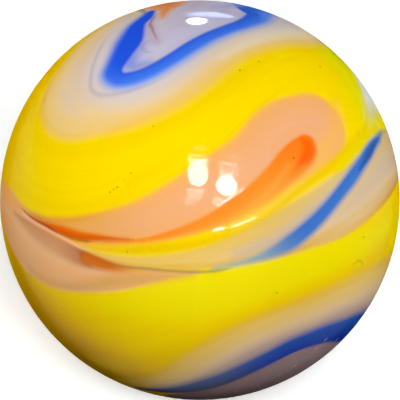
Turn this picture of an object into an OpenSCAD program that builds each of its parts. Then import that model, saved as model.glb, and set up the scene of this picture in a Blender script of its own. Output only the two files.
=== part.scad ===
// Swirled glass marble: one solid ball of opaque glass. Streams of other colours were folded
// into it while it was hot. They are part of the same solid and end flush with its surface.
// The whole ball is shared out between the glasses, so each point of it has one colour.

/* [Ball] */
// Diameter of the ball
ball_d = 16; // [12:1:50]

/* [Hidden] */
$fn = 72;
ball_r = ball_d / 2;

// The swirl is laid out on a flat map that touches the ball at the middle of its best side and
// keeps every angle true. A station on a stream's centre line is [across, up, half width], and
// a fourth value of -1 puts it on the map of the far half, seen straight through the ball. The
// numbers are in the millimetres of a ball of radius map_r, and turn and grow with the ball.
map_r = 8;
face_tilt = 30;        // how far the best side looks up from level, in degrees
longest_step = 0.12;   // longest straight step along a stream, as an angle in radians
blunt_end = 0.3;       // a stream with at least this half width at an end is rounded off there
end_angles = [80, 55, 28];   // how far round the half round its steps lie, in degrees
rim_margin = 0.4;      // how far past the rim a half's outline is carried, as a share of ball_r
rim_flare = 2;         // how fast its last steps move out from the rim, so that its end stays clear

yellow = "#ffdc00";
cream = "#e2cba5";
lilac = "#c6b7c6";
cobalt = "#2355e8";
rust = "#cd6928";
orange = "#ff7a1c";
ember = "#e25c04";
peach = "#f3b076";
tan_pink = "#dba073";
brown = "#c48062";
beige = "#d6be96";
sky = "#376ecd";
milk = "#dcd6d7";
sand = "#deba87";
mauve = "#cdafb2";

cream_tongue = [
    [-5, 6, 3.55], [-3.5, 7.8, 4.6], [-1.9, 10.1, 5.5], [0.5, 12.5, 6.2], [3, 15, 7],
    [4.6, 12, 6, -1], [5, 9.2, 4.8, -1], [4.6, 7, 3.6, -1], [3.2, 5.2, 2.6, -1],
    [1, 4.4, 1.8, -1], [-1.4, 4.6, 1.1, -1], [-3.4, 5.6, 0.4, -1]];
lilac_pool = [
    [-3.3, 6.3, 0.6], [-2, 7.7, 1.4], [-0.9, 9, 1.95], [0, 10.5, 2.3], [0.8, 12, 2.6],
    [1, 14, 3], [0, 13.4, 4.2, -1], [-0.2, 11, 3.6, -1], [0.4, 8.8, 2.7, -1], [1.6, 7, 1.5, -1]];
top_orange = [
    [-2, 9.9, 0.15], [-2.05, 10.8, 0.32], [-2.05, 11.6, 0.5], [-2.3, 12.6, 0.9],
    [-2.5, 13.8, 1.2], [-2.6, 15.5, 1.4], [-2.3, 12.8, 1.1, -1], [-1.5, 10.8, 0.7, -1],
    [-0.3, 9.2, 0.45, -1], [1.1, 8, 0.15, -1]];
cobalt_loop = [
    [-2.95, 10.9, 0.25], [-3.15, 10.2, 0.42], [-3.35, 9.4, 0.52], [-3.45, 8.6, 0.6],
    [-3.5, 7.8, 0.66], [-3.75, 7, 0.6], [-4, 6.3, 0.47], [-4.05, 5.75, 0.42],
    [-3.6, 5.35, 0.35], [-2.9, 5.3, 0.33], [-2.1, 5.6, 0.4], [-1.2, 6.25, 0.42],
    [-0.4, 7, 0.42], [0.4, 7.65, 0.42], [1.3, 8.4, 0.42], [2.2, 9.15, 0.48], [2.9, 9.8, 0.6],
    [3.4, 10.6, 0.8], [3.5, 11.6, 1.1], [3.5, 12.8, 1.35], [3.6, 14.2, 1.5],
    [4.2, 14, 1.4, -1], [5.2, 11.4, 1.1, -1], [5.6, 9, 0.9, -1], [5, 6.9, 0.75, -1],
    [3.4, 5.5, 0.6, -1], [1.4, 5.1, 0.45, -1], [-0.4, 5.6, 0.4, -1], [-1.8, 7, 0.4, -1],
    [-2.8, 8.8, 0.4, -1], [-3.6, 10.8, 0.3, -1], [-4.2, 13, 0.12, -1]];
peach_tongue = [
    [5.1, 3, 1.8], [3.6, 2.3, 1.8], [2.3, 1.3, 1.45], [1, 0.5, 1.22], [-0.5, -0.15, 1.1],
    [-2, -0.65, 0.88], [-3.5, -1.05, 0.72], [-5, -1.2, 0.58], [-6.5, -1.08, 0.38],
    [-8, -0.8, 0.2], [-9, -0.5, 0.12], [-10, -0.15, 0.1]];
orange_streak = [
    [4.45, 2.25, 0.5], [3.9, 1.95, 0.6], [3.3, 1.45, 0.62], [2.6, 0.85, 0.55],
    [1.9, 0.3, 0.5], [1.1, -0.2, 0.4], [0.3, -0.65, 0.32], [-0.6, -1.05, 0.24],
    [-1.6, -1.35, 0.17], [-2.6, -1.58, 0.12], [-3.5, -1.7, 0.06]];
ember_streak = [
    [-3.4, -1.5, 0.06], [-4.2, -1.48, 0.12], [-5, -1.45, 0.2], [-5.8, -1.32, 0.25],
    [-6.6, -1.2, 0.18], [-7.4, -1.02, 0.12], [-8.3, -0.8, 0.06]];
tan_wedge = [
    [0, -2.73, 0.04], [-1, -2.82, 0.14], [-2.2, -2.95, 0.38], [-3.5, -3.05, 0.68],
    [-5, -3, 1], [-6.5, -2.85, 1.35], [-8, -2.5, 1.6], [-9.5, -1.9, 1.65], [-11, -1, 1.6],
    [-13, -0.1, 1.5], [-15, 0.3, 1.5], [-14.2, 0.9, 1.7, -1], [-11.8, 1.2, 2, -1],
    [-9.4, 0.6, 2.2, -1], [-7.2, -0.8, 2.3, -1], [-5.4, -2.8, 2.1, -1], [-4.2, -5, 1.7, -1],
    [-3.4, -7.2, 1.1, -1], [-2.6, -9.2, 0.4, -1]];
brown_streak = [
    [-10.2, -0.5, 0.15], [-9.3, -0.95, 0.25], [-8.3, -1.4, 0.35], [-7.2, -1.8, 0.42],
    [-6.2, -2.1, 0.42], [-5.2, -2.35, 0.38], [-4.7, -2.5, 0.3]];
rust_patch = [[-4.8, -2.4, 0.3], [-4.2, -2.58, 0.3], [-3.6, -2.68, 0.2], [-3, -2.75, 0.12]];
back_orange = [
    [-13, 1.4, 0.1, -1], [-11, 1.3, 0.4, -1], [-9.2, 0.5, 0.65, -1], [-7.5, -0.8, 0.75, -1],
    [-6.1, -2.5, 0.65, -1], [-5.1, -4.4, 0.45, -1], [-4.3, -6.3, 0.2, -1]];
beige_band = [
    [-5, -1.9, 0.05], [-4.2, -2.15, 0.1], [-3.2, -2.35, 0.17], [-2, -2.35, 0.26],
    [-0.4, -2.23, 0.43], [1.15, -1.9, 0.62], [2.8, -1.38, 0.88], [4.4, -0.88, 1.15],
    [6, -0.2, 1.37], [7.6, 0.6, 1.55], [9.3, 1.6, 1.65], [11.2, 2.4, 1.7], [13, 3.2, 1.7],
    [14.8, 3.6, 1.9], [14, 4.2, 2, -1], [12, 4, 2, -1], [10, 3, 1.8, -1], [8.2, 1.6, 1.6, -1],
    [6.2, 0.4, 1.4, -1], [4, -0.4, 1.2, -1], [1.6, -0.6, 0.9, -1], [-0.8, -0.2, 0.6, -1],
    [-3, 0.8, 0.3, -1], [-4.6, 1.9, 0.1, -1]];
sky_stripe = [
    [10.4, 3.9, 0.1], [9.8, 3.55, 0.2], [9.1, 3.05, 0.3], [8.4, 2.5, 0.42], [7.6, 1.8, 0.42],
    [6.8, 1.1, 0.38], [6, 0.4, 0.37], [5.2, -0.3, 0.36], [4.4, -0.95, 0.33],
    [3.6, -1.5, 0.28], [2.9, -1.85, 0.22], [2.2, -2.15, 0.15], [1.4, -2.4, 0.1],
    [0.5, -2.6, 0.05]];
back_stripe = [
    [13.6, 4.6, 0.1, -1], [11.8, 4.4, 0.3, -1], [10, 3.5, 0.42, -1], [8.2, 2.1, 0.45, -1],
    [6.3, 0.8, 0.4, -1], [4.2, -0.1, 0.32, -1], [2, -0.4, 0.22, -1], [-0.2, -0.1, 0.1, -1]];
milk_patch = [
    [9.6, 5, 0.3], [10.4, 6, 0.8], [11.3, 7.2, 1.3], [12.2, 8.2, 1.9], [12.5, 10, 2.2],
    [11.4, 9.8, 2, -1], [10, 8.6, 1.4, -1], [9.3, 7, 0.8, -1], [8.9, 5.6, 0.3, -1]];
sand_band = [
    [-7, -11.4, 0.3], [-5, -10.7, 1], [-3, -9.9, 1.3], [-1, -9, 1.5], [0.8, -7.6, 1.6],
    [2.4, -6.4, 1.55], [4.2, -5.6, 1.45], [6.2, -5.1, 1.45], [8.2, -5.1, 1.75],
    [10.2, -5.4, 2.25], [12.2, -5.9, 2.8], [14, -6.3, 3.1], [13.3, -6.6, 3.1, -1],
    [11.1, -6.3, 2.9, -1], [8.8, -5.5, 2.5, -1], [6.6, -4.6, 2.1, -1], [4.4, -4.3, 1.7, -1],
    [2.3, -4.9, 1.4, -1], [0.7, -6.5, 1.1, -1], [-0.4, -8.6, 0.9, -1], [-1.2, -10.8, 0.6, -1],
    [-2.2, -13, 0.3, -1]];
mauve_pool = [
    [-1, -13, 1.3], [1.5, -12, 2.2], [4, -10.8, 2.8], [6.5, -10.3, 2.9], [8.5, -11, 2.9],
    [10, -12.5, 3], [8.8, -11, 3, -1], [7, -9.4, 2.6, -1], [5.2, -9.2, 2.4, -1],
    [3.6, -10.6, 2, -1], [3, -12.6, 1.6, -1]];
cobalt_undertow = [
    [-4, -12.1, 0.2], [-2.8, -11.6, 0.35], [-1.5, -11, 0.5], [-0.5, -10.4, 0.6],
    [0.5, -9.75, 0.7], [1.5, -9, 0.72], [2.5, -8.3, 0.7], [3.5, -7.75, 0.66],
    [4.5, -7.3, 0.64], [5.5, -7.1, 0.68], [6.5, -7.15, 0.78], [7.5, -7.45, 0.9],
    [8.5, -7.85, 1], [9.7, -8.4, 1.1], [11, -9.2, 1.1], [12.3, -10.1, 1],
    [11.4, -9.4, 1.1, -1], [9.4, -7.7, 1, -1], [7.2, -6.4, 0.85, -1], [5, -5.9, 0.7, -1],
    [3, -6.6, 0.6, -1], [1.7, -8.2, 0.5, -1], [1, -10.2, 0.4, -1], [0.6, -12.4, 0.2, -1]];
back_wisp = [
    [-13.4, -7.4, 0.2, -1], [-11, -6.4, 0.8, -1], [-8.8, -6.6, 1.1, -1], [-7.2, -8.2, 0.9, -1],
    [-6.4, -10.4, 0.6, -1], [-6.2, -12.8, 0.2, -1]];

// Direction of a station from the ball's centre, and its half width as an angle in radians
function shrink(p) = 1 / (1 + (p[0]^2 + p[1]^2) / (4 * map_r^2));
function side(p) = len(p) > 3 ? p[3] : 1;
function direction(p) = [p[0] / map_r, p[1] / map_r, side(p) * (2 - 1 / shrink(p))] * shrink(p);
function half_angle(p) = p[2] / map_r * shrink(p);
function unit(v) = v / norm(v);

// Smooth curve through b and c, between their neighbours a and d
function blend(a, b, c, d, t) = b + (c - a) * t / 2 + (2 * a - 5 * b + 4 * c - d) * t^2 / 2
    + (3 * b - a - 3 * c + d) * t^3 / 2;

// The line carried past both ends, so that the curve keeps its direction there
function carried(v) = let (n = len(v)) concat([2 * v[0] - v[1]], v, [2 * v[n - 1] - v[n - 2]]);

// A stream's centre line as [direction, half angle] at every step
function centre_line(stations) = let (
        n = len(stations),
        d = carried([for (p = stations) direction(p)]),
        w = carried([for (p = stations) half_angle(p)]))
    concat(
        [for (i = [1:n - 1]) let (steps = ceil(norm(d[i + 1] - d[i]) / longest_step))
            for (t = [0:1 / steps:1 - 0.5 / steps]) [
                unit(blend(d[i - 1], d[i], d[i + 1], d[i + 2], t)),
                blend(w[i - 1], w[i], w[i + 1], w[i + 2], t)]],
        [[d[n], w[n]]]);

// Steps of the half round that closes a blunt end
function half_round(end, next) = end[1] * map_r < blunt_end ? [] :
    let (away = unit(end[0] - next[0]))
    [for (a = end_angles) [unit(end[0] + away * end[1] * sin(a)), end[1] * cos(a)]];

function rounded(line) = let (
        n = len(line),
        start = half_round(line[0], line[1]),
        finish = half_round(line[n - 1], line[n - 2]))
    concat(start, line, [for (i = [len(finish) - 1:-1:0]) finish[i]]);

// Where a direction falls when one half of the ball is seen straight on. One from the other
// half is folded outward over the rim, so that both halves' outlines cross it at one place.
function flat(v, half) = let (r = norm([v[0], v[1]]), past = -v[2] * half)
    [v[0], v[1]] / r * ball_r
    * (past < 0 ? r : 2 - r + max(0, past - longest_step) * rim_flare);

// A stream's outline: out along one edge and back along the other
function outline(line, half) = let (
        n = len(line),
        across = [for (i = [0:n - 1])
            let (along = line[min(i + 1, n - 1)][0] - line[max(i - 1, 0)][0])
            unit(cross(line[i][0], along)) * tan(line[i][1] * 180 / PI)])
    concat(
        [for (i = [0:n - 1]) flat(unit(line[i][0] + across[i]), half)],
        [for (i = [n - 1:-1:0]) flat(unit(line[i][0] - across[i]), half)]);

// Numbers of the steps that lie deeper than the margin in one half
function deep(line, half) = [for (i = [0:len(line) - 1]) if (line[i][0][2] * half > rim_margin) i];

// The field of one stream, cut through the ball from both sides. Stations run from the near
// half to the far one, so each side takes its own end of the line and a margin of the other.
module field(stations) {
    line = rounded(centre_line(stations));
    n = len(line);
    near_deep = deep(line, 1);
    far_deep = deep(line, -1);
    near_end = len(far_deep) > 0 ? far_deep[0] : n - 1;
    far_start = len(near_deep) > 0 ? near_deep[len(near_deep) - 1] : 0;
    if (side(stations[0]) > 0)
        linear_extrude(height = ball_d)
            polygon(outline([for (i = [0:near_end]) line[i]], 1));
    if (side(stations[len(stations) - 1]) < 0)
        mirror([0, 0, 1])
            linear_extrude(height = ball_d)
                polygon(outline([for (i = [far_start:n - 1]) line[i]], -1));
}

module ball() { sphere(d = ball_d); }

// One stream, cut short where the streams in over were laid on it
module glass_stream(glass, stations, over = []) {
    color(glass) difference() {
        intersection() {
            ball();
            field(stations);
        }
        for (s = over) field(s);
    }
}

// The loop at the top: an orange wisp and a cobalt line on a lilac and cream tongue
module top_loop() {
    glass_stream(cream, cream_tongue, [lilac_pool, cobalt_loop, top_orange]);
    glass_stream(lilac, lilac_pool, [cobalt_loop, top_orange]);
    glass_stream(rust, top_orange, [cobalt_loop]);
    glass_stream(cobalt, cobalt_loop);
    glass_stream(milk, milk_patch, [cream_tongue]);
}

// The folded tongue across the middle, with the tan wedge that runs on round the back
module middle_fold() {
    glass_stream(peach, peach_tongue, [orange_streak, ember_streak, tan_wedge]);
    glass_stream(orange, orange_streak);
    glass_stream(ember, ember_streak, [tan_wedge]);
    glass_stream(tan_pink, tan_wedge, [brown_streak, rust_patch, back_orange]);
    glass_stream(brown, brown_streak, [rust_patch]);
    glass_stream(rust, rust_patch);
    glass_stream(orange, back_orange);
    glass_stream(beige, beige_band, [tan_wedge, sky_stripe, back_stripe]);
    glass_stream(sky, sky_stripe);
    glass_stream(cobalt, back_stripe);
}

// The broad bands underneath
module undertow() {
    glass_stream(sand, sand_band, [mauve_pool, cobalt_undertow]);
    glass_stream(mauve, mauve_pool, [cobalt_undertow]);
    glass_stream(cobalt, cobalt_undertow);
    glass_stream(cream, back_wisp);
}

streams = [cream_tongue, lilac_pool, top_orange, cobalt_loop, milk_patch, peach_tongue,
    orange_streak, ember_streak, tan_wedge, brown_streak, rust_patch, back_orange, beige_band,
    sky_stripe, back_stripe, sand_band, mauve_pool, cobalt_undertow, back_wisp];

module marble() {
    rotate([90 - face_tilt, 0, 0]) {
        color(yellow) difference() {
            ball();
            for (s = streams) field(s);
        }
        top_loop();
        middle_fold();
        undertow();
    }
}

marble();
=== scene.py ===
import math

import bpy
import numpy as np
from mathutils import Matrix, Vector


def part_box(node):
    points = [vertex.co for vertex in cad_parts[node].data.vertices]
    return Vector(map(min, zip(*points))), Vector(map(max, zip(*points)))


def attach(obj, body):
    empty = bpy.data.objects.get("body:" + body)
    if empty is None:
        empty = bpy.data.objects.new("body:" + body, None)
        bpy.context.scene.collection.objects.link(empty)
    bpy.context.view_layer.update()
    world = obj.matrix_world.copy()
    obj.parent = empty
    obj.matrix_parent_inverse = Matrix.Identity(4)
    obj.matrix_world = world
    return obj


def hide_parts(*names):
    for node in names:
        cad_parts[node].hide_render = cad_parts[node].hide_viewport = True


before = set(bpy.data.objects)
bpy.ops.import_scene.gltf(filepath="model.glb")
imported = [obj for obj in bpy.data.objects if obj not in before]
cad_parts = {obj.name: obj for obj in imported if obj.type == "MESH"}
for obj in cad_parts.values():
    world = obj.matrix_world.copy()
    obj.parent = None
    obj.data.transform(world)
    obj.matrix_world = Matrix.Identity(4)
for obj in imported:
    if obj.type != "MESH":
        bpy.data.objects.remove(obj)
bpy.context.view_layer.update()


ballPlan = {
    "gridCells": 128,        # cells along each side of the six patches
    "mapRadius": 8.0,        # the map's own ball, mm: the station lists are in its millimetres
    "faceTilt": 30.0,        # how far the best side looks up from level, degrees
    "step": 0.14,            # spacing of the discs along a stream, mm
    "batch": 8000,           # points measured at a time, to spare memory
    "thinnest": 0.05,        # a half width less than this counts as this, mm
    "cornerSize": 1e-9,      # corners of two patches closer than this are one, m
}

ballRadius = -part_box("marble")[0].z
millimetre = ballRadius / ballPlan["mapRadius"]

tilt = math.radians(ballPlan["faceTilt"])
# columns: where the map's across, up and outward directions point in the row frame
mapTurn = np.array([[1, 0, 0],
                    [0, math.sin(tilt), -math.cos(tilt)],
                    [0, math.cos(tilt), math.sin(tilt)]])


def unit(v):
    # each vector over its own length
    return v / np.linalg.norm(v, axis=-1, keepdims=True)


def onBall(x, y, side=1):
    # with q = (x squared + y squared) / (2R) squared, a map point lies at
    # (x / R, y / R, side (1 - q)) / (1 + q) from the ball's centre, in radii
    r = ballPlan["mapRadius"]
    q = (x * x + y * y) / (4 * r * r)
    return np.stack([x / r, y / r, side * (1 - q)], -1) / (1 + q)[..., None]


def ballGrid(cells):
    # Each patch is (tan a) U + (tan b) V + N for a and b from -45 to 45 degrees, brought to
    # the unit ball. U, V and N are the three axes in turn, so six patches close the ball.
    turn = np.tan(np.linspace(-math.pi / 4, math.pi / 4, cells + 1))
    a, b = np.meshgrid(turn, turn, indexing="ij")
    axes = np.eye(3)
    points = []
    for k in range(3):
        u, v, n = axes[k], axes[(k + 1) % 3], axes[(k + 2) % 3]
        points.append(a[..., None] * u + b[..., None] * v + n)
        points.append(a[..., None] * v + b[..., None] * u - n)
    points = unit(np.array(points)).reshape(-1, 3)
    corner = np.arange((cells + 1) ** 2).reshape(cells + 1, cells + 1)
    quads = np.stack([corner[:-1, :-1], corner[1:, :-1], corner[1:, 1:], corner[:-1, 1:]], -1)
    quads = quads.reshape(-1, 4) + np.arange(6)[:, None, None] * (cells + 1) ** 2
    key = np.round(points * ballRadius / ballPlan["cornerSize"]).astype(np.int64)
    _, first, again = np.unique(key, axis=0, return_index=True, return_inverse=True)
    return points[first], again.reshape(-1)[quads.reshape(-1, 4)]


def streamLine(stations):
    # Each span is the cubic through its own two stations, bent by their two neighbours. A half
    # width on the map is 1 + q times the one on the ball, with q as above.
    r = ballPlan["mapRadius"]
    s = np.array([(*station, 1)[:4] for station in stations], float)
    knots = np.column_stack([onBall(s[:, 0], s[:, 1], s[:, 3]),
                             s[:, 2] / (1 + (s[:, 0] ** 2 + s[:, 1] ** 2) / (4 * r * r))])
    span = np.linalg.norm(np.diff(knots[:, :3], axis=0), axis=1) * r
    knots = np.vstack([2 * knots[0] - knots[1], knots, 2 * knots[-1] - knots[-2]])
    count = np.ceil(span / ballPlan["step"]).astype(int)
    place = np.concatenate([k + np.arange(n) / n for k, n in enumerate(count)] + [[len(count)]])
    k = np.minimum(place.astype(int), len(count) - 1)
    t = (place - k)[:, None]
    a, b, c, d = knots[k], knots[k + 1], knots[k + 2], knots[k + 3]
    curve = b + (c - a) * t / 2 + (2 * a - 5 * b + 4 * c - d) * t ** 2 / 2
    curve += (3 * b - a - 3 * c + d) * t ** 3 / 2
    return unit(curve[:, :3]), curve[:, 3], place / len(count)


def streamLength(stations):
    # the length of the line, mm: the sum of its short straight steps
    centre = streamLine(stations)[0]
    return np.linalg.norm(np.diff(centre, axis=0), axis=1).sum() * ballPlan["mapRadius"]


def measure(points, stations):
    # A stream is the union of discs along its line. A disc's score at a point is its half
    # width squared less the distance squared. The best disc is found, then refined by the
    # parabola through its score and its neighbours'. Returned in mm: how deep the point is
    # inside the edge, its offset to the left of the line, how far along it is (0 to 1) and
    # the half width there.
    r = ballPlan["mapRadius"]
    centre, width, place = streamLine(stations)
    left = unit(np.cross(centre, np.gradient(centre, axis=0)))
    power = width * np.abs(width)
    steps = (2 * r * r * centre).astype(np.float32)
    best = np.empty(len(points), int)
    batch = ballPlan["batch"]
    for start in range(0, len(points), batch):
        near = points[start:start + batch].astype(np.float32) @ steps.T
        best[start:start + batch] = np.argmax(near + power.astype(np.float32), axis=1)

    def score(i):
        return power[i] - 2 * r * r * (1 - np.einsum("ij,ij->i", points, centre[i]))

    last = len(place) - 1
    here = score(best)
    before = score(np.maximum(best - 1, 0))
    after = score(np.minimum(best + 1, last))
    bend = np.maximum(2 * here - before - after, 1e-12)    # never zero
    shift = np.clip((after - before) / (2 * bend), -0.5 * (best > 0), 0.5 * (best < last))
    peak = here + (after - before) * shift / 2 - bend * shift ** 2 / 2
    half = np.interp(best + shift, np.arange(last + 1), width)
    away = np.sqrt(np.maximum(half * np.abs(half) - peak, 0))
    offset = away * np.sign(np.einsum("ij,ij->i", points, left[best]))
    return half - away, offset, np.interp(best + shift, np.arange(last + 1), place), half


# A station is (across, up, half width), with a fourth value of -1 on the far half of the ball.
# "glass" gives the colours from the right edge (-1) to the left edge (1) of the stream, seen
# along it, or with "inward" from its edge to that depth, mm. "later" gives them farther along,
# and the one turns into the other between the two places in "turns", where the stream starts at
# 0 and ends at 1. "soft" is the width of the blurred edge, mm, as (right, left), and "blurs"
# widens it that many times between two places. "strength" is how far the stream hides what
# lies under it. "streak" is how strongly fine streaks move the glass. "wisp" is a second glass
# drawn out through it, with its share. A "fine" line has one width of blur, and ends where its
# half width falls below zero.
bodyTints = [
    # amber along the left side: partly the glass's own tone, partly painted shade, the warmer hue
    # of the side that the lamps light less
    {"name": "leftAmberAndShade", "soft": (4, 4), "strength": 0.85,
     "glass": [(-1, "#f6bc00"), (1, "#fac000")],
     "later": [(-1, "#efb000"), (1, "#f0b400")], "turns": (0.45, 0.6),
     "line": [(-7, 12.5, 1.2), (-11, 8, 2), (-12.5, 2, 2.1), (-11.8, -4, 2.6), (-8.6, -8.6, 3),
              (-4, -11.6, 2.4), (1, -13.3, 1.2)]},
    # painted shade: the yellow darkens to deep amber towards the lower-left rim
    {"name": "lowerLeftPaintedShade", "soft": (3, 3), "strength": 0.8,
     "glass": [(-1, "#bc8200"), (0, "#e2a400"), (1, "#fcc800")],
     "line": [(-10.5, -3, 0.8), (-8.6, -6, 1.8), (-6, -8.2, 2.1), (-3, -9.2, 1.6),
              (-0.4, -9.8, 0.7)]},
    {"name": "lemonUnder", "soft": (1.2, 1.2), "strength": 0.8,
     "glass": [(-1, "#fbe800"), (1, "#f8ea00")],
     "line": [(-4, -4.6, 0.3), (-2, -4.2, 0.8), (0, -3.8, 1.1), (2.5, -3.2, 1.1), (5, -2.7, 0.9),
              (8, -2.1, 0.7), (11, -1.3, 0.4)]},
    {"name": "amberUnder", "soft": (1, 1), "strength": 0.7,
     "glass": [(-1, "#f4c400"), (1, "#f6cc00")],
     "line": [(-6, -9.5, 0.6), (-3.5, -8.6, 0.8), (-1.4, -7.4, 0.8), (0.6, -5.9, 0.6),
              (2.6, -4.8, 0.45), (5, -4, 0.4), (7.6, -3.4, 0.4), (10.4, -2.7, 0.4)]},
    {"name": "lemonSide", "soft": (1.8, 2), "strength": 0.85,
     "glass": [(-1, "#eaea00"), (1, "#f8e800")],
     "line": [(4.5, 13.5, 0.6), (6.8, 11.4, 1.4), (8.5, 9.4, 1.9), (9.2, 7.2, 1.5),
              (9.1, 5.6, 1.1), (9.3, 4.5, 0.8), (10.6, 4.9, 0.6), (12, 5.7, 0.6),
              (13.6, 6.4, 0.5)]},
    {"name": "lemonMiddle", "soft": (1.2, 1.2), "strength": 0.12,
     "glass": [(-1, "#ffe800"), (1, "#ffe800")],
     "line": [(-7, 1.2, 0.2), (-4, 1.6, 0.5), (-1.5, 2.4, 0.6), (0.8, 3.9, 0.6),
              (2.8, 5.6, 0.6), (5, 6.4, 0.6), (7.4, 6, 0.5), (8, 4.4, 0.4)]},
    {"name": "amberEdge", "soft": (0.9, 0.9), "strength": 0.3,
     "glass": [(-1, "#f2be00"), (1, "#f2be00")],
     "line": [(-8.3, 8.5, 0.1), (-8.9, 6, 0.3), (-8.5, 3.9, 0.3), (-7, 2.5, 0.3), (-5, 2, 0.3),
              (-3, 2.3, 0.3), (-1, 3.1, 0.3), (1.2, 4.8, 0.25), (3.2, 6.6, 0.1)]},
    {"name": "hookFold", "fine": True, "soft": 0.3, "strength": 0.5,
     "glass": [(-1, "#cbb800"), (1, "#cbb800")],
     "line": [(6.9, 2.55, -0.15), (7.55, 2.92, 0.03), (8.15, 3.32, 0.05), (8.6, 3.8, 0.06),
              (8.95, 4.4, 0.06), (9.2, 5.1, 0.05), (9.45, 6, 0.04), (9.8, 7.2, 0.03),
              (10, 8.4, -0.1)]},
    {"name": "limbOlive", "fine": True, "soft": 0.8, "strength": 0.55,
     "glass": [(-1, "#5a6c48"), (1, "#5a6c48")],
     "line": [(8.2, 10.8, -0.3), (8.9, 10, 0.1), (9.6, 9.5, 0.2), (10.3, 8.9, 0.2),
              (10.9, 8.3, 0.1), (11.4, 7.6, -0.3)]},
]

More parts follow.
